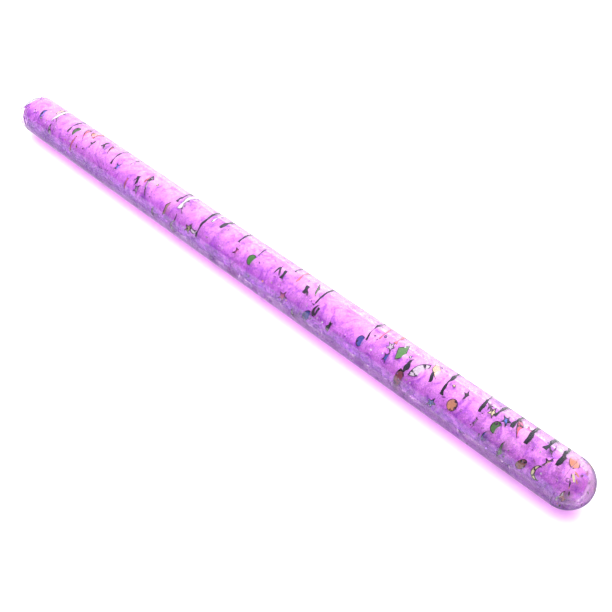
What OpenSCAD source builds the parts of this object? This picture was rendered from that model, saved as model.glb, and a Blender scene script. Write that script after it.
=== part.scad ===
// Liquid glitter wand: a sealed clear tube with two domed caps, filled with coloured liquid,
// an air bubble and loose foil shapes. It lies along X on the plane z = 0, near end at +X.

/* [Shell] */
// Whole length, dome tip to dome tip
wand_l = 317; // [310:1:340]
// Outside diameter of the tube and its caps
wand_d = 19; // [19:0.5:22]
// Wall thickness of the tube and its caps
wall = 1.6; // [1.2:0.1:1.6]
// Length of the stepped joint where each cap is cemented on
lap_l = 2.5; // [1.5:0.5:5]
// Diameter of the plugged filling hole in the far cap
fill_hole_d = 3; // [2:0.5:4]

/* [Filling] */
// Radial gap between the liquid and the wall, so that the filling can swirl
swirl_gap = 0.05; // [0.02:0.01:0.1]
// Diameter of the air bubble
bubble_d = 12; // [8:0.5:13]
// How far the bubble's middle lies from the middle of the far dome
bubble_off = 9.6; // [9:0.2:11]
// Angle of the bubble above the wand's axis
bubble_rise = 50; // [20:5:90]
// Turn of the layout of the foil shapes about the wand's axis
layout_turn = 33; // [0:1:359]

/* [Foil shapes] */
// Thickness of the foil
foil_t = 0.2; // [0.1:0.05:0.3]
// Width of a crescent moon
moon_d = 4.6; // [3.4:0.2:4.8]
// Width of a star
star_d = 4.4; // [3.2:0.2:4.6]
// Length of a leaf
leaf_l = 8.6; // [6:0.2:8.8]
// Width of a leaf
leaf_w = 3.6; // [2:0.2:3.8]
// Length of a diamond
diamond_l = 7.4; // [5:0.2:7.6]
// Width of a diamond
diamond_w = 4.6; // [2.4:0.2:4.8]
// Diameter of a round spangle
disc_d = 4; // [2:0.2:4.2]
// Radial gap from the wall that the foil strips cling to
strip_gap = 0.35; // [0.3:0.05:0.5]
// Width of a glitter hexagon across its corners
hex_d = 1.3; // [0.8:0.1:1.4]
// Glitter hexagons of each colour
hex_count = 24; // [6:1:24]

/* [Hidden] */
$fn = 96;

outer_r = wand_d / 2;
bore_r = outer_r - wall;
step_r = outer_r - wall / 2;
straight_l = wand_l - wand_d;
fill_r = bore_r - swirl_gap;
over = 1;

// Places of the loose shapes, in the filling's own turned frame: along the wand, across it,
// height, then tip, lean and turn in degrees.
GOLD_MOONS = [
    [141, -3, 5, 0, 25, 20],
    [59, 3, -4, 70, 10, 60],
    [-106, -3, -3, 60, -20, 0],
];
SILVER_MOONS = [
    [-28, -1.5, 5, 0, 35, 100],
    [-130, -1.5, 4, 10, 50, 80],
    [-39, -5, 3, 40, 40, 60],
    [33, -5, 3, 40, 50, 120],
    [-52, -4.5, 3, 30, 60, 90],
    [111, -2.5, -4, 60, 20, 90],
];
NAVY_MOONS = [
    [-97, 4, 2, -40, 75, 60],
    [33, 3, 3.5, -30, 80, 90],
    [41, -1, 5, 10, 70, 50],
    [84, 1.5, 3, 0, 60, 40],
    [140, 5, 2.5, -40, 75, 80],
    [18, 3, 3, -30, 70, 60],
];
GOLD_STARS = [
    [142, 1, 4.5, 10, 40, 10],
    [117.5, 4, 4, -30, 30, 0],
    [-31, -3, 4.5, 30, 30, 15],
    [8, -4, -4, 80, 20, 0],
];
SILVER_STARS = [
    [74, 3, 4.5, -20, 40, 0],
    [-66, -2, 4.5, 20, 50, 10],
    [115, -1, 4.5, 10, 70, 0],
    [130, -4, -3, 20, 60, 0],
];
BLUE_STARS = [
    [123, 4.3, 4.2, -30, 25, 0],
    [75, -0.5, 5, 0, 60, 10],
    [98, -4, 4, 30, 40, 20],
    [-82, 0.5, 4.5, 0, 45, 0],
    [-20, -2, -5, 20, 20, 0],
];
PINK_STARS = [
    [25, -3.5, 4.5, 20, 25, 10],
    [-4, 0, 4.5, 10, 55, 0],
    [146.5, 0, 3, 20, 40, 0],
    [130, 4, -2, -60, 40, 20],
];
NAVY_STARS = [
    [107, 3.5, 3.5, -20, 60, 10],
    [151, 2, 2, 30, 50, 10],
    [49, -2.5, 4.5, 20, 75, 0],
    [115.5, 4.5, 1.5, -40, 60, 0],
    [-103, 2, 4, 0, 70, 20],
    [-69, 1, 4, 20, 65, 0],
    [145, 4.5, 2.5, -30, 70, 0],
];
GREEN_DIAMONDS = [
    [78.5, 3.4, 4, -25, 35, 70],
    [36, 3.5, 2.5, -40, 85, 90],
    [127, -2.5, 3.5, 0, 65, 80],
    [-138, -2, -3, 60, 20, 0],
];
GOLD_DIAMONDS = [
    [92.5, 4.5, 2, -50, 50, 90],
    [-134, 4, 1.5, -40, 75, 90],
    [-46, -1, 4, 10, 65, 80],
    [52, -3, -4, 70, 30, 20],
];
SILVER_LEAVES = [
    [88, 2, 4.5, -15, 27, 50],
    [-131, 3, 3, -40, 65, 90],
    [-40, 3, 3.5, -40, 65, 90],
    [-62, 1.5, 4, -20, 60, 100],
    [65, -3, -4, 60, 0, 20],
];
RED_LEAVES = [
    [83, -3.5, 4, 40, 50, -50],
    [128.5, 3.5, 2.5, -40, 60, 90],
    [-111, 3.5, 2.5, -40, 70, 85],
    [-92, 2.5, 2.5, -40, 75, 90],
    [-5, -3, -4, 40, 30, 20],
];
GREEN_DISCS = [
    [4, 0.5, 5, 0, 35, 0],
    [-116, 2.5, 4, -10, 50, 0],
    [121.5, 1, 5, 0, 40, 0],
    [-16, -5, -3, 60, 20, 0],
];
ORANGE_DISCS = [
    [105, -1, 5.5, 0, 25, 0],
    [148, 5, 2, -40, 40, 0],
    [135, -3.5, 4.5, 30, 50, 0],
    [151, -3.5, 2, 20, 60, 0],
    [-108, 5, 1, -50, 50, 0],
];
BLUE_DISCS = [
    [63, -1, 5.5, 0, 60, 0],
    [-140, 1, 4, 0, 60, 0],
    [120.5, -2.5, 3, 30, 50, 0],
    [38, -4, 4, 30, 60, 0],
    [-95, -4, -3, 60, 20, 0],
];

// Places of the strips that cling to the wall: along the wand, first and last angle round it from
// the height direction towards the across direction, width, then lean in degrees.
NAVY_STRIPS = [
    [-119, 5, 100, 1, 4],
    [-97, 30, 60, 1.6, -6],
    [-86, 0, 105, 1, 8],
    [-77, 35, 100, 0.8, 5],
    [-67, -10, 20, 1.4, 20],
    [-43, 20, 105, 1.6, 4],
    [-38.5, -35, -10, 0.8, 0],
    [-25, -35, 105, 1.5, 3],
    [-17, 30, 105, 1.8, -4],
    [-6, 25, 105, 0.9, 6],
    [6, 25, 60, 0.8, 5],
    [17, 10, 35, 1.3, -10],
    [20.5, 8, 36, 1.2, 6],
    [22.5, 50, 105, 0.8, 5],
    [32.5, 10, 36, 1.6, 4],
    [39.5, 5, 105, 0.9, 5],
    [42, -22, 2, 1.4, -12],
    [49.5, -38, -12, 1.8, -16],
    [65, 2, 100, 0.9, 5],
    [84, -10, 25, 1.8, 0],
    [93.5, 5, 35, 1.2, 25],
    [99.5, -3, 105, 1.3, 5],
    [113.5, 15, 100, 1.2, 12],
    [119.5, 30, 105, 1.2, -8],
    [126, 30, 105, 1.6, 0],
    [132.5, 15, 100, 1.6, 4],
    [139, 32, 105, 1.6, -5],
    [144.5, 15, 100, 1.6, 6],
];
RED_STRIPS = [
    [-112, -45, 12, 1, 0],
    [-105, 35, 105, 1.2, 4],
    [-72, -40, -5, 1.6, 10],
    [-63.5, 12, 45, 1.2, 8],
    [26.5, 25, 105, 0.9, 5],
    [69, 25, 105, 0.9, 5],
    [74.5, 40, 105, 1.4, 0],
];
SILVER_STRIPS = [
    [-131, 5, 100, 1.6, 6],
    [-40, 5, 100, 2, 6],
    [-22.5, 30, 100, 1, 5],
    [12, 200, 280, 1.2, 10],
    [-90, 150, 230, 1.2, -8],
    [108, 170, 240, 1.2, 6],
];

// Seeds that keep each colour of glitter clear of the other shapes
SILVER_SEED = 40;
GOLD_SEED = 117;
VIOLET_SEED = 168;

// Stand the wand's own axis, drawn along Z, along X at its resting height
module lie_down() {
    translate([0, 0, outer_r])
        rotate([0, 90, 0])
            children();
}

// One domed cap, its dome centre at the origin and its tip at +Z
module cap_shell() {
    difference() {
        union() {
            sphere(r = outer_r);
            translate([0, 0, -lap_l])
                cylinder(r = outer_r, h = lap_l);
        }
        sphere(r = bore_r);
        translate([0, 0, -outer_r - lap_l])
            cylinder(r = outer_r + over, h = outer_r);
        translate([0, 0, -lap_l - over])
            cylinder(r = step_r, h = lap_l + over);
    }
}

module tube() {
    color([0.94, 0.9, 0.97, 0.35])
        lie_down()
            difference() {
                cylinder(r = outer_r, h = straight_l, center = true);
                cylinder(r = bore_r, h = straight_l + 2 * over, center = true);
                for (end = [-1, 1])
                    translate([0, 0, end * (straight_l / 2 + over / 2 - lap_l / 2)])
                        difference() {
                            cylinder(r = outer_r + over, h = lap_l + over, center = true);
                            cylinder(r = step_r, h = lap_l + 2 * over, center = true);
                        }
            }
}

module near_cap() {
    color([0.94, 0.9, 0.97, 0.35])
        lie_down()
            translate([0, 0, straight_l / 2])
                cap_shell();
}

module far_cap() {
    color([0.94, 0.9, 0.97, 0.35])
        lie_down()
            translate([0, 0, -straight_l / 2])
                mirror([0, 0, 1])
                    difference() {
                        cap_shell();
                        cylinder(d = fill_hole_d, h = outer_r + over);
                    }
}

module fill_plug() {
    color([0.9, 0.88, 0.95])
        lie_down()
            translate([0, 0, -straight_l / 2])
                mirror([0, 0, 1])
                    difference() {
                        intersection() {
                            sphere(r = outer_r);
                            cylinder(d = fill_hole_d, h = outer_r + over);
                        }
                        sphere(r = bore_r);
                    }
}

// The space that the filling takes, before the bubble and the foil shapes are left out
module column() {
    lie_down() {
        cylinder(r = fill_r, h = straight_l, center = true);
        for (end = [-1, 1])
            translate([0, 0, end * straight_l / 2])
                sphere(r = fill_r);
    }
}

module bubble() {
    translate([-straight_l / 2, 0, outer_r])
        rotate([0, -90 + bubble_rise, 0])
            translate([0, 0, bubble_off])
                sphere(d = bubble_d);
}

module liquid() {
    color([0.72, 0.4, 0.95, 0.5])
        difference() {
            column();
            bubble();
            loose_shapes();
        }
}

// A child's flat outline, cut from foil and set down at each of the places
module scatter(places) {
    translate([0, 0, outer_r])
        rotate([layout_turn, 0, 0])
            for (p = places)
                translate([p[0], p[1], p[2]])
                    rotate([p[3], p[4], 0])
                        rotate([0, 0, p[5]])
                            linear_extrude(height = foil_t, center = true)
                                children();
}

module moon_outline() {
    difference() {
        circle(d = moon_d);
        translate([moon_d * 0.24, 0])
            circle(d = moon_d * 0.84);
    }
}

module star_outline() {
    polygon([
        for (i = [0 : 9])
            let (r = i % 2 == 0 ? star_d / 2 : star_d * 0.21)
            [r * cos(36 * i), r * sin(36 * i)]
    ]);
}

// Two arcs that meet in a point at each end
module leaf_outline() {
    half_w = leaf_w / 2;
    arc_r = (leaf_l * leaf_l / 4 + half_w * half_w) / (2 * half_w);
    intersection_for (side = [-1, 1])
        translate([0, side * (arc_r - half_w)])
            circle(r = arc_r);
}

module diamond_outline() {
    polygon([[diamond_l / 2, 0], [0, diamond_w / 2], [-diamond_l / 2, 0], [0, -diamond_w / 2]]);
}

// Narrow strips of foil bent round the inside of the wall
module strips(places) {
    translate([0, 0, outer_r])
        rotate([layout_turn, 0, 0])
            for (p = places) {
                sweep = p[2] - p[1];
                middle = (p[1] + p[2]) / 2;
                translate([p[0], 0, 0])
                    rotate([0, 90, 0])
                        rotate([0, 0, 180 - middle])
                            rotate([p[4], 0, 0])
                                rotate([0, 0, -sweep / 2])
                                    rotate_extrude(angle = sweep)
                                        translate([fill_r - strip_gap, 0])
                                            square([foil_t, p[3]], center = true);
            }
}

// Glitter hexagons spread evenly along the filling and round it, each tumbled its own way
module glitter(seed) {
    step_l = (straight_l - 2 * hex_d) / hex_count;
    for (i = [0 : hex_count - 1]) {
        along = (i + 0.5 + 0.3 * sin(seed * (i + 1))) * step_l - straight_l / 2 + hex_d;
        out = (fill_r - hex_d) * sqrt((i * 7 + seed) % hex_count / hex_count);
        translate([along, 0, outer_r])
            rotate([137.5 * i + seed, 0, 0])
                translate([0, 0, out])
                    rotate([seed * 13 * i, seed * 29 * i, 0])
                        cylinder(d = hex_d, h = foil_t, center = true, $fn = 6);
    }
}

module gold_moons() {
    color("gold") scatter(GOLD_MOONS) moon_outline();
}

module silver_moons() {
    color("whitesmoke") scatter(SILVER_MOONS) moon_outline();
}

module navy_moons() {
    color("midnightblue") scatter(NAVY_MOONS) moon_outline();
}

module gold_stars() {
    color("gold") scatter(GOLD_STARS) star_outline();
}

module silver_stars() {
    color("whitesmoke") scatter(SILVER_STARS) star_outline();
}

module blue_stars() {
    color("royalblue") scatter(BLUE_STARS) star_outline();
}

module pink_stars() {
    color("hotpink") scatter(PINK_STARS) star_outline();
}

module navy_stars() {
    color("midnightblue") scatter(NAVY_STARS) star_outline();
}

module green_diamonds() {
    color("forestgreen") scatter(GREEN_DIAMONDS) diamond_outline();
}

module gold_diamonds() {
    color("goldenrod") scatter(GOLD_DIAMONDS) diamond_outline();
}

module silver_leaves() {
    color("whitesmoke") scatter(SILVER_LEAVES) leaf_outline();
}

module red_leaves() {
    color("crimson") scatter(RED_LEAVES) leaf_outline();
}

module navy_strips() {
    color("midnightblue") strips(NAVY_STRIPS);
}

module red_strips() {
    color("crimson") strips(RED_STRIPS);
}

module silver_strips() {
    color("whitesmoke") strips(SILVER_STRIPS);
}

module green_discs() {
    color("mediumseagreen") scatter(GREEN_DISCS) circle(d = disc_d);
}

module orange_discs() {
    color("darkorange") scatter(ORANGE_DISCS) circle(d = disc_d);
}

module blue_discs() {
    color("cornflowerblue") scatter(BLUE_DISCS) circle(d = disc_d);
}

module silver_glitter() {
    color("white") glitter(SILVER_SEED);
}

module gold_glitter() {
    color("gold") glitter(GOLD_SEED);
}

module violet_glitter() {
    color("violet") glitter(VIOLET_SEED);
}

module loose_shapes() {
    gold_moons();
    silver_moons();
    navy_moons();
    gold_stars();
    silver_stars();
    blue_stars();
    pink_stars();
    navy_stars();
    green_diamonds();
    gold_diamonds();
    silver_leaves();
    red_leaves();
    navy_strips();
    red_strips();
    silver_strips();
    green_discs();
    orange_discs();
    blue_discs();
    silver_glitter();
    gold_glitter();
    violet_glitter();
}

tube();
near_cap();
far_cap();
fill_plug();
liquid();
gold_moons();
silver_moons();
navy_moons();
gold_stars();
silver_stars();
blue_stars();
pink_stars();
navy_stars();
green_diamonds();
gold_diamonds();
silver_leaves();
red_leaves();
navy_strips();
red_strips();
silver_strips();
green_discs();
orange_discs();
blue_discs();
silver_glitter();
gold_glitter();
violet_glitter();
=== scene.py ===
"""Looks of the liquid glitter wand: clear shell, tinted liquid, pearl dust, foil shapes and bubbles."""

import math
import random

import bmesh
import bpy
from mathutils import Euler, Matrix, Vector, noise
from mathutils.kdtree import KDTree


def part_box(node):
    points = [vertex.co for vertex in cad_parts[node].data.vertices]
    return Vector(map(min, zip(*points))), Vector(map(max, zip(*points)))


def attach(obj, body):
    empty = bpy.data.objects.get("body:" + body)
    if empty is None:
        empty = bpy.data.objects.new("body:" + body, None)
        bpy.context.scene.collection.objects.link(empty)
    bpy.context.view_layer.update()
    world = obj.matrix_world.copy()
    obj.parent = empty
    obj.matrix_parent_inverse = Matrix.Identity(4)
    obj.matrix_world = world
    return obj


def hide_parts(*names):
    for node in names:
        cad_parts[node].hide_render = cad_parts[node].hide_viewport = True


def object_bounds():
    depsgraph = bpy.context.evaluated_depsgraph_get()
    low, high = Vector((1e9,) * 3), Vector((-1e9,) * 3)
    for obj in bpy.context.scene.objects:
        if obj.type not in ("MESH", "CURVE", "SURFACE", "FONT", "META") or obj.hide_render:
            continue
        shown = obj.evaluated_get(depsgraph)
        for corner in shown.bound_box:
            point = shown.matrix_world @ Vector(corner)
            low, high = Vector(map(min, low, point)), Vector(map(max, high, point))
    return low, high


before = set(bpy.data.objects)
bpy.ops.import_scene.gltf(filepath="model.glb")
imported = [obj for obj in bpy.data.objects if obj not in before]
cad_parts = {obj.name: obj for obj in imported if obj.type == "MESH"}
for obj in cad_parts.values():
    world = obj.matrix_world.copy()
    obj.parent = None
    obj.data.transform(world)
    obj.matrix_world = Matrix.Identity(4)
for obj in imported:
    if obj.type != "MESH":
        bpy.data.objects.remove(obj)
cad_low, cad_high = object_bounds()

# ---------------------------------------------------------------- sizes, in metres
# The shell and the liquid are measured on the frame. The gap and the bubble repeat the CAD's values.
MM = 0.001
OUTER_R = (cad_high.z - cad_low.z) / 2
AXIS_Z = (cad_high.z + cad_low.z) / 2
TUBE_LOW, TUBE_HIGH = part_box("tube")
STRAIGHT = TUBE_HIGH.x - TUBE_LOW.x
LIQUID_LOW, LIQUID_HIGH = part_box("liquid")
FILL_R = (LIQUID_HIGH.z - LIQUID_LOW.z) / 2
SWIRL_GAP = 0.05 * MM
BORE_R = FILL_R + SWIRL_GAP
# How far the liquid reaches into the wall, so that it reads as wet, and each cap into the tube
WET = 0.06 * MM
WELD = 0.15 * MM
BUBBLE_R = 6 * MM
BUBBLE_SKIN = 0.3 * MM
BUBBLE_AWAY = 9.6 * MM
BUBBLE_RISE = math.radians(50)
BUBBLE_OFF = Vector((-math.cos(BUBBLE_RISE), 0, math.sin(BUBBLE_RISE))) * BUBBLE_AWAY
BUBBLE_AT = Vector((-STRAIGHT / 2, 0, AXIS_Z)) + BUBBLE_OFF
LIQUID_IOR = 1.42

# How finely round surfaces and domes are divided
ROUND_STEPS = 192
DOME_STEPS = 48

CAMERA_AZIMUTH = 43.3
CAMERA_RISE = 47.9
CAMERA_AWAY = 0.3253
CAMERA_AIM = Vector((0.0335, -0.0024, AXIS_Z))
CAMERA_LENS = 48.9

# Across the filling: the side towards which the pearl dust is painted lighter, as painted light from above
# and behind, and the side that most of the foil shows on
PAINTED_LIGHT_SIDE = Vector((0, 0.84, 0.54))
FOIL_SIDE = Vector((0, -0.42, 0.91))


def direction(azimuth, rise):
    """Unit vector from the wand at this azimuth and height angle, in degrees, as the camera counts them."""
    a, e = math.radians(azimuth), math.radians(rise)
    return Vector((math.sin(a) * math.cos(e), -math.cos(a) * math.cos(e), math.sin(e)))


def make_camera():
    """The photo's view of the wand, from its near end and above."""
    data = bpy.data.cameras.new("camera")
    data.sensor_width = 36
    data.lens = CAMERA_LENS
    data.clip_start = 0.01
    data.clip_end = 20
    camera = bpy.data.objects.new("camera", data)
    back = direction(CAMERA_AZIMUTH, CAMERA_RISE)
    camera.location = CAMERA_AIM + back * CAMERA_AWAY
    camera.rotation_mode = "QUATERNION"
    camera.rotation_quaternion = (-back).to_track_quat("-Z", "Y")
    bpy.context.scene.collection.objects.link(camera)
    bpy.context.scene.camera = camera


# The clear shell's tint, and the painted dark edge that the moulded domes take on where they are seen edge
# on: painted shade for the dark refraction at their outline
CLEAR = (0.99, 0.985, 0.995)
DOME_EDGE_SHADE = (0.14, 0.12, 0.3)


# ---------------------------------------------------------------- node helpers
class Tree:
    """A material's node tree, with short calls for adding and linking nodes."""

    def __init__(self, name):
        self.material = bpy.data.materials.new(name)
        self.material.use_nodes = True
        self.tree = self.material.node_tree
        self.tree.nodes.clear()
        self.output = self.add("ShaderNodeOutputMaterial")

    def add(self, kind, inputs=None, **settings):
        node = self.tree.nodes.new(kind)
        for key, value in settings.items():
            setattr(node, key, value)
        for key, value in (inputs or {}).items():
            if isinstance(value, bpy.types.NodeSocket):
                self.tree.links.new(value, node.inputs[key])
            else:
                node.inputs[key].default_value = value
        return node

    def ramp(self, factor, *stops):
        """Colour stops, each a place from 0 to 1 and a colour, read by a factor."""
        node = self.add("ShaderNodeValToRGB", {"Fac": factor})
        ramp = node.color_ramp
        while len(ramp.elements) < len(stops):
            ramp.elements.new(0.5)
        for element, (place, colour) in zip(ramp.elements, stops):
            element.position = place
            element.color = colour if len(colour) == 4 else (*colour, 1)
        return node.outputs["Color"]

    def blend(self, how, factor, first, second):
        """One colour put over another; a mix node's colour sockets come after its number and vector ones."""
        node = self.add("ShaderNodeMix", {0: factor, 6: first, 7: second}, data_type="RGBA", blend_type=how)
        return node.outputs[2]

    def surface(self, socket):
        self.tree.links.new(socket, self.output.inputs["Surface"])
        return self.material


def let_lamps_through(t, shader, tint):
    """The shader as the camera sees it, and a clear sheet, tinted on the way in, for lamp rays."""
    path = t.add("ShaderNodeLightPath")
    way = t.add("ShaderNodeNewGeometry")
    colour = t.ramp(way.outputs["Backfacing"], (0.4, tint), (0.6, (1, 1, 1)))
    clear = t.add("ShaderNodeBsdfTransparent", {"Color": colour})
    mix = t.add("ShaderNodeMixShader", {
        0: path.outputs["Is Shadow Ray"], 1: shader.outputs[0], 2: clear.outputs[0]})
    return mix.outputs[0]


def clear_plastic(name, edge):
    """Clear plastic with a little haze; where it is seen edge on it takes the edge colour, which for the
    domes is a painted dark edge.
    """
    t = Tree(name)
    where = t.add("ShaderNodeTexCoord").outputs["Object"]
    scuffs = t.add("ShaderNodeTexNoise", {"Vector": where, "Scale": 900.0, "Detail": 3.0})
    haze = t.add("ShaderNodeMapRange", {"Value": scuffs.outputs["Fac"], "To Min": 0.0, "To Max": 0.03})
    waves = t.add("ShaderNodeTexNoise", {"Vector": where, "Scale": 90.0, "Detail": 2.0})
    bump = t.add("ShaderNodeBump", {"Height": waves.outputs["Fac"], "Strength": 0.04, "Distance": 0.0004})
    # Painted shade where the surface is seen edge on: the domes darken along their outline
    facing = t.add("ShaderNodeLayerWeight", {"Blend": 0.5})
    clear = t.ramp(facing.outputs["Facing"], (0.55, CLEAR), (0.8, edge))
    shader = t.add("ShaderNodeBsdfPrincipled", {
        "Base Color": clear, "Roughness": haze.outputs[0], "IOR": 1.49,
        "Transmission Weight": 1.0, "Normal": bump.outputs[0]})
    return t.surface(let_lamps_through(t, shader, (0.95, 0.93, 0.96)))


def purple_liquid(name):
    """Clear purple liquid: it tints what is seen through it, and more so the deeper that lies."""
    t = Tree(name)
    where = t.add("ShaderNodeTexCoord").outputs["Object"]
    swirl = t.add("ShaderNodeTexNoise", {"Vector": where, "Scale": 70.0, "Detail": 4.0, "Distortion": 1.2})
    tint = t.ramp(swirl.outputs["Fac"], (0.3, (0.96, 0.86, 0.97)), (0.7, (0.99, 0.92, 0.99)))
    shader = t.add("ShaderNodeBsdfPrincipled", {
        "Base Color": tint, "Roughness": 0.0, "IOR": LIQUID_IOR,
        "Transmission Weight": 1.0})
    depth = t.add("ShaderNodeVolumeAbsorption", {"Color": (0.85, 0.3, 0.88, 1), "Density": 20.0})
    t.tree.links.new(depth.outputs[0], t.output.inputs["Volume"])
    return t.surface(let_lamps_through(t, shader, (0.9, 0.55, 0.92)))


def reach_along(t, where, way, uneven):
    """How far a point lies this way across the filling, from 0 to 1, with an uneven edge to it."""
    reach = t.add("ShaderNodeVectorMath", {0: where, 1: way}, operation="DOT_PRODUCT")
    middle = way.z * AXIS_Z
    share = t.add("ShaderNodeMapRange", {
        "Value": reach.outputs["Value"], "From Min": middle - FILL_R, "From Max": middle + FILL_R})
    return t.add("ShaderNodeMath", {0: share.outputs[0], 1: uneven.outputs[0]}, operation="ADD").outputs[0]


def pearl_cloud(name, thin, thick, tint):
    """Pearl dust in the liquid: a veil that throws light back, thin towards the foil and on the far side; its
    colour is painted lighter on one side and darker on the other, as painted light and shade.
    """
    t = Tree(name)
    where = t.add("ShaderNodeTexCoord").outputs["Object"]
    swirl = t.add("ShaderNodeTexNoise", {"Vector": where, "Scale": 220.0, "Detail": 6.0, "Distortion": 1.5})
    dust = t.add("ShaderNodeTexVoronoi", {"Vector": where, "Scale": 2200.0})
    spark = t.add("ShaderNodeSeparateColor", {"Color": dust.outputs["Color"]})
    uneven = t.add("ShaderNodeMapRange", {
        "Value": swirl.outputs["Fac"], "From Min": 0.3, "From Max": 0.7, "To Min": -0.1, "To Max": 0.1})
    amount = t.ramp(
        reach_along(t, where, FOIL_SIDE, uneven),
        (0.12, (thin,) * 3), (0.34, (thick,) * 3), (0.62, (thick,) * 3), (0.8, (thin,) * 3))
    grain = t.add("ShaderNodeMapRange", {"Value": spark.outputs[0], "To Min": -0.1, "To Max": 0.1})
    cover = t.add("ShaderNodeMath", {0: amount, 1: grain.outputs[0]}, operation="ADD", use_clamp=True)
    # Painted light and shade: the dust's colour runs from dark violet on the side away from the lamp to pale
    # pink on the side towards it
    painted_light_tone = t.ramp(
        reach_along(t, where, PAINTED_LIGHT_SIDE, uneven),
        (0.05, (0.44, 0.14, 0.62)), (0.2, (0.46, 0.15, 0.68)), (0.33, (0.9, 0.37, 1)),
        (0.62, (0.98, 0.43, 1)), (0.88, (1, 0.56, 1)))
    grains = t.ramp(spark.outputs[1], (0.0, (0.75, 0.7, 0.78)), (0.7, (1, 1, 1)), (1.0, (1.15, 1.3, 1.15)))
    smoke = t.add("ShaderNodeTexNoise", {"Vector": where, "Scale": 130.0, "Detail": 3.0, "Distortion": 2.5})
    stain = t.ramp(
        smoke.outputs["Fac"], (0.34, (0.6, 0.42, 0.78)), (0.48, (1, 1, 1)), (0.66, (1.1, 1.3, 1.05)))
    # Painted shade: a dark line on the dust where it is pushed in round the bubble, standing in for the
    # bubble's dark meniscus edge
    pushed = t.add("ShaderNodeAttribute", attribute_name="pushed")
    painted_meniscus_line = t.ramp(
        pushed.outputs["Fac"], (0.05, (1, 1, 1)), (0.3, (0.05, 0.04, 0.08)), (0.75, (0.9, 0.85, 0.95)))
    colour = t.blend("MULTIPLY", 1.0, t.blend("MULTIPLY", 1.0, painted_light_tone, grains), stain)
    colour = t.blend("MULTIPLY", 1.0, colour, painted_meniscus_line)
    dull = t.add("ShaderNodeBsdfDiffuse", {"Color": colour})
    glow = t.add("ShaderNodeBsdfTranslucent", {"Color": colour})
    pearl = t.add("ShaderNodeMixShader", {0: 0.4, 1: dull.outputs[0], 2: glow.outputs[0]})
    clear = t.add("ShaderNodeBsdfTransparent")
    veil = t.add("ShaderNodeMixShader", {0: cover.outputs[0], 1: clear.outputs[0], 2: pearl.outputs[0]})
    return t.surface(let_lamps_through(t, veil, tint))


def cloudy_plastic(name):
    """The dull grey plastic of the plug."""
    t = Tree(name)
    where = t.add("ShaderNodeTexCoord").outputs["Object"]
    spots = t.add("ShaderNodeTexNoise", {"Vector": where, "Scale": 700.0, "Detail": 3.0})
    colour = t.ramp(spots.outputs["Fac"], (0.35, (0.55, 0.53, 0.58)), (0.65, (0.72, 0.7, 0.74)))
    shader = t.add("ShaderNodeBsdfPrincipled", {"Base Color": colour, "Roughness": 0.35})
    return t.surface(shader.outputs[0])


def foil(name, colour):
    """Crinkled foil that lets a little light through. Its shade changes from shape to shape.

    It has a dark uneven rim along the cut edge: painted shade and dark reflection where the edge curls away.
    """
    rough, spread = 0.25, 0.15
    t = Tree(name)
    where = t.add("ShaderNodeTexCoord").outputs["Object"]
    one = t.add("ShaderNodeNewGeometry").outputs["Random Per Island"]
    dark = [c * (1 - spread) for c in colour]
    light = [min(1.0, c * (1 + spread) + 0.02) for c in colour]
    shade = t.ramp(one, (0.0, dark), (1.0, light))
    crinkle = t.add("ShaderNodeTexNoise", {"Vector": where, "Scale": 420.0, "Detail": 3.0})
    # Painted shade: a dark uneven rim along each shape's cut edge, for the curled edge that turns dark
    inside = t.add("ShaderNodeAttribute", attribute_name="inside")
    edge_shade_reach = t.add("ShaderNodeMath", {0: inside.outputs["Fac"], 1: crinkle.outputs["Fac"]}, operation="ADD")
    edge_shade_reach = t.add("ShaderNodeMath", {0: edge_shade_reach.outputs[0], 1: 0.5}, operation="MULTIPLY")
    painted_edge_shade = t.ramp(edge_shade_reach.outputs[0], (0.4, (0.02, 0.015, 0.03)), (0.47, (1, 1, 1)))
    colour = t.blend("MULTIPLY", 1.0, shade, painted_edge_shade)
    bump = t.add("ShaderNodeBump", {"Height": crinkle.outputs["Fac"], "Strength": 0.5, "Distance": 0.0003})
    roughness = t.add("ShaderNodeMapRange", {
        "Value": crinkle.outputs["Fac"], "To Min": rough * 0.6, "To Max": rough * 1.4})
    shader = t.add("ShaderNodeBsdfPrincipled", {
        "Base Color": colour, "Metallic": 0.1, "Roughness": roughness.outputs[0],
        "Specular IOR Level": 0.3, "Normal": bump.outputs[0]})
    glow = t.add("ShaderNodeBsdfTranslucent", {"Color": colour})
    film = t.add("ShaderNodeMixShader", {0: 0.1, 1: shader.outputs[0], 2: glow.outputs[0]})
    return t.surface(film.outputs[0])


def air(name):
    """The inside of a small bubble: it bends light the other way, because the liquid is outside."""
    t = Tree(name)
    shader = t.add("ShaderNodeBsdfPrincipled", {
        "Base Color": (1, 1, 1, 1), "Roughness": 0.0, "IOR": 1 / LIQUID_IOR, "Transmission Weight": 1.0})
    return t.surface(let_lamps_through(t, shader, (1, 1, 1)))


# ---------------------------------------------------------------- mesh helpers
def add_object(name, bm, material, sharp=40):
    mesh = bpy.data.meshes.new(name)
    bm.normal_update()
    for face in bm.faces:
        face.smooth = True
    for edge in bm.edges:
        edge.smooth = len(edge.link_faces) != 2 or edge.calc_face_angle() < math.radians(sharp)
    bm.to_mesh(mesh)
    bm.free()
    mesh.materials.append(material)
    piece = bpy.data.objects.new(name, mesh)
    bpy.context.scene.collection.objects.link(piece)
    return piece


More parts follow.
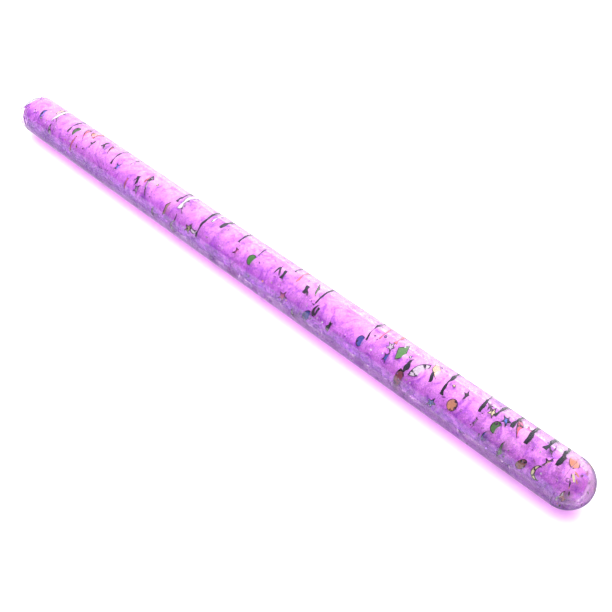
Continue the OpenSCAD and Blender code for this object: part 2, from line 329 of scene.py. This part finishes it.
def revolve(profile, steps=ROUND_STEPS):
    """A closed surface swept round the wand's axis by a line of (x, radius) points; radius 0 makes a pole."""
    bm = bmesh.new()
    rings = []
    for x, radius in profile:
        if radius < 1e-7:
            rings.append([bm.verts.new((x, 0, AXIS_Z))])
            continue
        ring = []
        for i in range(steps):
            a = 2 * math.pi * i / steps
            ring.append(bm.verts.new((x, radius * math.sin(a), AXIS_Z + radius * math.cos(a))))
        rings.append(ring)
    for low, high in zip(rings, rings[1:] + rings[:1]):
        if len(low) == 1 and len(high) == 1:
            continue
        for i in range(steps):
            j = (i + 1) % steps
            around = [low[i % len(low)], low[j % len(low)], high[j % len(high)], high[i % len(high)]]
            bm.faces.new(list(dict.fromkeys(around)))
    bmesh.ops.recalc_face_normals(bm, faces=bm.faces)
    return bm


def arc(centre_x, radius, start, end, steps=DOME_STEPS):
    """Points of a dome's outline, from one angle to the other, measured from +X."""
    out = []
    for i in range(steps + 1):
        a = math.radians(start + (end - start) * i / steps)
        out.append((centre_x + radius * math.cos(a), max(0.0, radius * math.sin(a))))
    return out


# ---------------------------------------------------------------- shell
def make_tube(material):
    """The straight clear tube, open at both ends."""
    half = STRAIGHT / 2
    outline = [(-half, OUTER_R), (half, OUTER_R), (half, BORE_R), (-half, BORE_R)]
    tube = add_object("clear_tube", revolve(outline), material)
    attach(tube, "shell")
    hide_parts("tube")


def make_cap(side, node, material):
    """A domed cap: its skirt runs a little into the tube's end, as a cemented joint does."""
    centre = side * STRAIGHT / 2
    inner_end = centre - side * WELD
    start, end = (90, 0) if side > 0 else (90, 180)
    outline = [(inner_end, OUTER_R)] + arc(centre, OUTER_R, start, end)
    outline += arc(centre, BORE_R, end, start) + [(inner_end, BORE_R)]
    cap = add_object(node + "_dome", revolve(outline), material)
    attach(cap, "shell")
    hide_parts(node)
    return cap


# ---------------------------------------------------------------- filling
def make_liquid(material):
    """The liquid, wetting the wall, with the air bubble cut out of it."""
    half = STRAIGHT / 2
    radius = BORE_R + WET
    outline = arc(-half, radius, 180, 90) + arc(half, radius, 90, 0)
    body = add_object("purple_liquid", revolve(outline), material)
    bubble = bmesh.new()
    bmesh.ops.create_icosphere(bubble, subdivisions=6, radius=BUBBLE_R)
    bmesh.ops.translate(bubble, verts=bubble.verts, vec=BUBBLE_AT)
    cutter = add_object("bubble_cutter", bubble, material)
    cut = body.modifiers.new("bubble", "BOOLEAN")
    cut.object = cutter
    cut.operation = "DIFFERENCE"
    bpy.context.view_layer.update()
    graph = bpy.context.evaluated_depsgraph_get()
    cut_mesh = bpy.data.meshes.new_from_object(body.evaluated_get(graph))
    body.modifiers.clear()
    body.data = cut_mesh
    bpy.data.objects.remove(cutter)
    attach(body, "filling")
    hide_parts("liquid")


def make_plug(material):
    """The plug of the filling hole, in the CAD's own shape."""
    bm = bmesh.new()
    bm.from_mesh(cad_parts["fill_plug"].data)
    plug = add_object("filling_hole_plug", bm, material)
    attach(plug, "shell")
    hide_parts("fill_plug")


def make_small_bubbles(material):
    """Beads of air trapped near the wall."""
    bm = bmesh.new()
    for x, angle, radius in SMALL_BUBBLES:
        arm = FILL_R - (radius + 0.15) * MM
        turn = math.radians(angle)
        way = FOIL_SIDE * math.cos(turn) + PAINTED_LIGHT_SIDE * math.sin(turn)
        move = Matrix.Translation(Vector((x * MM, 0, AXIS_Z)) + way * arm)
        bmesh.ops.create_icosphere(bm, subdivisions=3, radius=radius * MM, matrix=move)
    beads = add_object("small_bubbles", bm, material)
    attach(beads, "filling")


def make_cloud(number, radius, wavy, material):
    """One layer of the pearl dust: a long closed bag with a wavy wall, pushed in round the bubble."""
    low, high = -STRAIGHT / 2 + 1.5 * MM, STRAIGHT / 2
    outline = arc(low, radius, 180, 90, 12)
    steps = 300
    outline += [(low + (high - low) * i / steps, radius) for i in range(1, steps)]
    outline += arc(high, radius, 90, 0, 12)
    bm = revolve(outline, steps=48)
    pushed = bm.verts.layers.float.new("pushed")
    for v in bm.verts:
        arm = Vector((0, v.co.y, v.co.z - AXIS_Z))
        spot = Vector((v.co.x * 90, v.co.y * 160, v.co.z * 160))
        wave = noise.noise(spot + Vector((7.0 * number, 0, 0)))
        v.co += arm * wavy * wave
        from_bubble = v.co - BUBBLE_AT
        if from_bubble.length < BUBBLE_R + BUBBLE_SKIN:
            v.co = BUBBLE_AT + from_bubble.normalized() * (BUBBLE_R + BUBBLE_SKIN)
            v[pushed] = 1
    cloud = add_object(f"pearl_cloud_{number}", bm, material)
    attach(cloud, "filling")


def islands(bm):
    """The mesh's separate shapes, as lists of vertices, in a fixed order."""
    seen, found = set(), []
    for start in bm.verts:
        if start.index in seen:
            continue
        seen.add(start.index)
        todo, group = [start], []
        while todo:
            v = todo.pop()
            group.append(v)
            for edge in v.link_edges:
                other = edge.other_vert(v)
                if other.index not in seen:
                    seen.add(other.index)
                    todo.append(other)
        found.append(group)
    return found


def flat_frame(group):
    """Centre and axes of a flat shape: along its longest reach, across, and out of its face."""
    centre = sum((v.co for v in group), Vector()) / len(group)
    # Faces are often equal in size: of those, the one that faces up most is taken, so that no run differs
    faces = dict.fromkeys(f for v in group for f in v.link_faces)
    out = max(faces, key=lambda f: (f.calc_area(), f.normal.z)).normal.copy()
    reach = max((v.co - centre for v in group), key=lambda r: r.length)
    along = (reach - out * reach.dot(out)).normalized()
    return centre, along, out.cross(along), out


def divide(bm, longest):
    """Splits every edge longer than this, until none is left."""
    for _ in range(6):
        long_edges = [e for e in bm.edges if e.calc_length() > longest]
        if not long_edges:
            break
        bmesh.ops.subdivide_edges(bm, edges=long_edges, cuts=1)
        bmesh.ops.triangulate(bm, faces=bm.faces)


def mark_inside(bm, reach):
    """Writes on each vertex how far it lies from its shape's cut edge, from 0 on the edge to 1 at reach."""
    bm.normal_update()
    sharp = [e for e in bm.edges if len(e.link_faces) == 2 and e.calc_face_angle() > math.radians(45)]
    places = sorted({v for e in sharp for v in e.verts}, key=lambda v: v.index)
    tree = KDTree(len(places))
    for number, v in enumerate(places):
        tree.insert(v.co, number)
    tree.balance()
    layer = bm.verts.layers.float.new("inside")
    for v in bm.verts:
        v[layer] = min(1.0, tree.find(v.co)[2] / reach)


def curled_foil(node, material, seed):
    """Foil at the CAD shapes' places: shapes are thinned and each curled its own way, strips made ragged."""
    curl, thin = 0.06 / MM, 0.5
    rng = random.Random(seed)
    strip = "strips" in node
    bm = bmesh.new()
    bm.from_mesh(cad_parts[node].data)
    bmesh.ops.remove_doubles(bm, verts=bm.verts, dist=1e-6)
    divide(bm, 0.35 * MM)
    bm.verts.index_update()
    mark_inside(bm, (0.4 if strip else 0.8) * MM)
    for group in islands(bm):
        centre, along, across, out = flat_frame(group)
        turn = rng.uniform(0, math.pi)
        bend = rng.choice((-1, 1)) * rng.uniform(0.4, 1.0) * curl
        twist = rng.uniform(-0.5, 0.5) * curl
        for v in group:
            r = v.co - centre
            a, b, c = r.dot(along), r.dot(across), r.dot(out) * thin
            u = a * math.cos(turn) + b * math.sin(turn)
            c += bend * u * u + twist * a * b
            if not strip:
                v.co = centre + along * a + across * b + out * c
        if strip:
            ragged(group, centre.x, rng)
    piece = add_object(node + "_foil", bm, material)
    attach(piece, "filling")
    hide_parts(node)


def ragged(group, middle, rng):
    """A strip of foil with an uneven width along its length."""
    shift = Vector((rng.uniform(-50, 50), 0, 0))
    for v in group:
        width = 0.75 + 0.9 * noise.noise(v.co * 450 + shift)
        sway = 0.5 * MM * noise.noise(v.co * 260 - shift)
        v.co.x = middle + (v.co.x - middle) * width + sway


def make_flecks(colour, material, count, crowd, seed):
    """Fine chips of foil near the wall, with a crowd of longer ones in the near dome."""
    rng = random.Random(seed)
    bm = bmesh.new()
    for number in range(count + crowd):
        arm = FILL_R * rng.uniform(0.8, 0.95)
        if number < count:
            turn = rng.uniform(0, 2 * math.pi)
            along = rng.uniform(-1, 1) * STRAIGHT / 2
            place = Vector((along, arm * math.cos(turn), AXIS_Z + arm * math.sin(turn)))
            size = rng.uniform(0.15, 0.45) * MM
        else:
            way = Vector((rng.uniform(0.05, 0.9), rng.gauss(0, 1), rng.gauss(0, 1))).normalized()
            place = Vector((STRAIGHT / 2, 0, AXIS_Z)) + way * arm
            size = rng.uniform(0.3, 0.7) * MM
        # Drawn for every chip, which keeps the later draws as they are
        angles = [rng.uniform(0, math.pi) for _ in range(3)]
        if number < count:
            tumble = Euler(angles).to_matrix().to_4x4()
        else:
            tumble = way.to_track_quat("Z", "Y").to_matrix().to_4x4() @ LONG_CHIP
        bmesh.ops.create_cone(
            bm, cap_ends=True, segments=5, radius1=size, radius2=size, depth=0.04 * MM,
            matrix=Matrix.Translation(place) @ tumble)
    inside = bm.verts.layers.float.new("inside")
    for v in bm.verts:
        v[inside] = 1
    chips = add_object(colour + "_flecks", bm, material)
    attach(chips, "filling")


# ---------------------------------------------------------------- studio
def make_floor():
    """The white surface that the wand lies on."""
    t = Tree("studio_floor")
    where = t.add("ShaderNodeTexCoord").outputs["Object"]
    grain = t.add("ShaderNodeTexNoise", {"Vector": where, "Scale": 40.0})
    colour = t.ramp(grain.outputs["Fac"], (0.3, (0.93, 0.93, 0.93)), (0.7, (0.95, 0.95, 0.95)))
    shader = t.add("ShaderNodeBsdfPrincipled", {"Base Color": colour, "Roughness": 0.7})
    material = t.surface(shader.outputs[0])
    bm = bmesh.new()
    bmesh.ops.create_grid(bm, x_segments=8, y_segments=8, size=3)
    floor = add_object("studio_floor", bm, material)
    floor.visible_glossy = False


def add_softbox(name, azimuth, rise, away, side, watts):
    """A square lamp aimed at the wand, which is not mirrored in it or seen through it."""
    data = bpy.data.lights.new(name, "AREA")
    data.shape = "RECTANGLE"
    data.size = side
    data.size_y = side
    data.energy = watts
    lamp = bpy.data.objects.new(name, data)
    back = direction(azimuth, rise)
    lamp.location = back * away
    lamp.rotation_mode = "QUATERNION"
    lamp.rotation_quaternion = (-back).to_track_quat("-Z", "Y")
    lamp.visible_glossy = False
    lamp.visible_transmission = False
    bpy.context.scene.collection.objects.link(lamp)


def make_world():
    """A dim room with a pale wall behind the wand, which the clear shell mirrors along its upper edge."""
    world = bpy.data.worlds.new("studio")
    world.use_nodes = True
    tree = world.node_tree
    background = tree.nodes["Background"]
    where = tree.nodes.new("ShaderNodeTexCoord")
    towards = tree.nodes.new("ShaderNodeVectorMath")
    towards.operation = "DOT_PRODUCT"
    towards.inputs[1].default_value = -direction(CAMERA_AZIMUTH, 0)
    ramp = tree.nodes.new("ShaderNodeValToRGB")
    ramp.color_ramp.elements[0].position = 0.1
    ramp.color_ramp.elements[0].color = (0.3, 0.3, 0.3, 1)
    ramp.color_ramp.elements[1].position = 0.9
    ramp.color_ramp.elements[1].color = (1, 1, 1, 1)
    tree.links.new(where.outputs["Generated"], towards.inputs[0])
    tree.links.new(towards.outputs["Value"], ramp.inputs["Fac"])
    tree.links.new(ramp.outputs["Color"], background.inputs["Color"])
    bpy.context.scene.world = world


def make_light():
    """A large lamp high behind the wand, a small one on the camera's side, and how light is traced."""
    make_world()
    add_softbox("overhead_softbox", CAMERA_AZIMUTH + 180, rise=65, away=1.4, side=1.5, watts=60)
    add_softbox("front_softbox", CAMERA_AZIMUTH, rise=50, away=1.4, side=0.8, watts=4)
    view = bpy.context.scene.view_settings
    view.view_transform = "Standard"
    view.look = "None"
    cycles = bpy.context.scene.cycles
    cycles.max_bounces = 24
    cycles.transmission_bounces = 24
    cycles.transparent_max_bounces = 24
    cycles.caustics_refractive = False
    cycles.caustics_reflective = False


# Small air bubbles: place along the wand, angle round the wall and radius, in millimetres and degrees
SMALL_BUBBLES = [
    (-144, -8, 0.9), (-127, -18, 0.7), (-141, -38, 0.4), (-109, -12, 0.4),
    (-58, -20, 0.45), (-12, -25, 0.5), (29, -12, 0.4), (57, -28, 0.5),
    (109, -15, 0.5), (150, -6, 0.7), (147.5, -22, 0.35), (136, 12, 0.35),
]

# Each layer of pearl dust: its share of the filling's radius, how wavy it is, how much it hides where it is
# thin and where it is thick, and its tint for the light that passes
CLOUDS = [
    (0.86, 0.01, 0.02, 0.88, (0.76, 0.4, 0.79)),
    (0.6, 0.04, 0.92, 0.95, (0.84, 0.5, 0.86)),
]

FOIL_COLOURS = {
    "gold": (1.0, 1.0, 0.45),
    "silver": (1.0, 1.0, 1.0),
    "navy": (0.004, 0.005, 0.02),
    "blue": (0.1, 0.25, 0.85),
    "pink": (0.95, 0.2, 0.5),
    "red": (0.95, 0.2, 0.24),
    "green": (0.1, 0.42, 0.06),
    "orange": (0.85, 0.4, 0.18),
    "violet": (0.55, 0.25, 0.85),
}

# The stretch that makes a chip in the near dome narrow and long
LONG_CHIP = Matrix.Diagonal((0.6, 2.2, 1, 1))

# Fine flecks: colour, number along the wand and number in the near dome
FLECKS = [("navy", 260, 12), ("silver", 260, 4), ("violet", 160, 5), ("gold", 60, 4), ("orange", 30, 16)]

make_camera()
shell = clear_plastic("clear_plastic", CLEAR)
make_tube(shell)
domes = clear_plastic("dome_plastic_edge_shade", DOME_EDGE_SHADE)
make_cap(1, "near_cap", domes)
make_cap(-1, "far_cap", domes)
make_plug(cloudy_plastic("cloudy_plastic"))
make_liquid(purple_liquid("purple_liquid"))
make_small_bubbles(air("bubble_air"))
for number, (share, wavy, thin, thick, tint) in enumerate(CLOUDS, start=1):
    make_cloud(number, share * FILL_R, wavy, pearl_cloud(f"pearl_cloud_{number}", thin, thick, tint))
foils = {name: foil(name + "_foil", colour) for name, colour in FOIL_COLOURS.items()}
foil_nodes = [n for n in sorted(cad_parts) if n.split("_")[0] in FOIL_COLOURS]
for number, node in enumerate(foil_nodes):
    colour = node.split("_")[0]
    curled_foil(node, foils[colour], seed=100 + number)
for number, (colour, count, crowd) in enumerate(FLECKS):
    make_flecks(colour, foils[colour], count, crowd, seed=300 + number)
make_floor()
make_light()
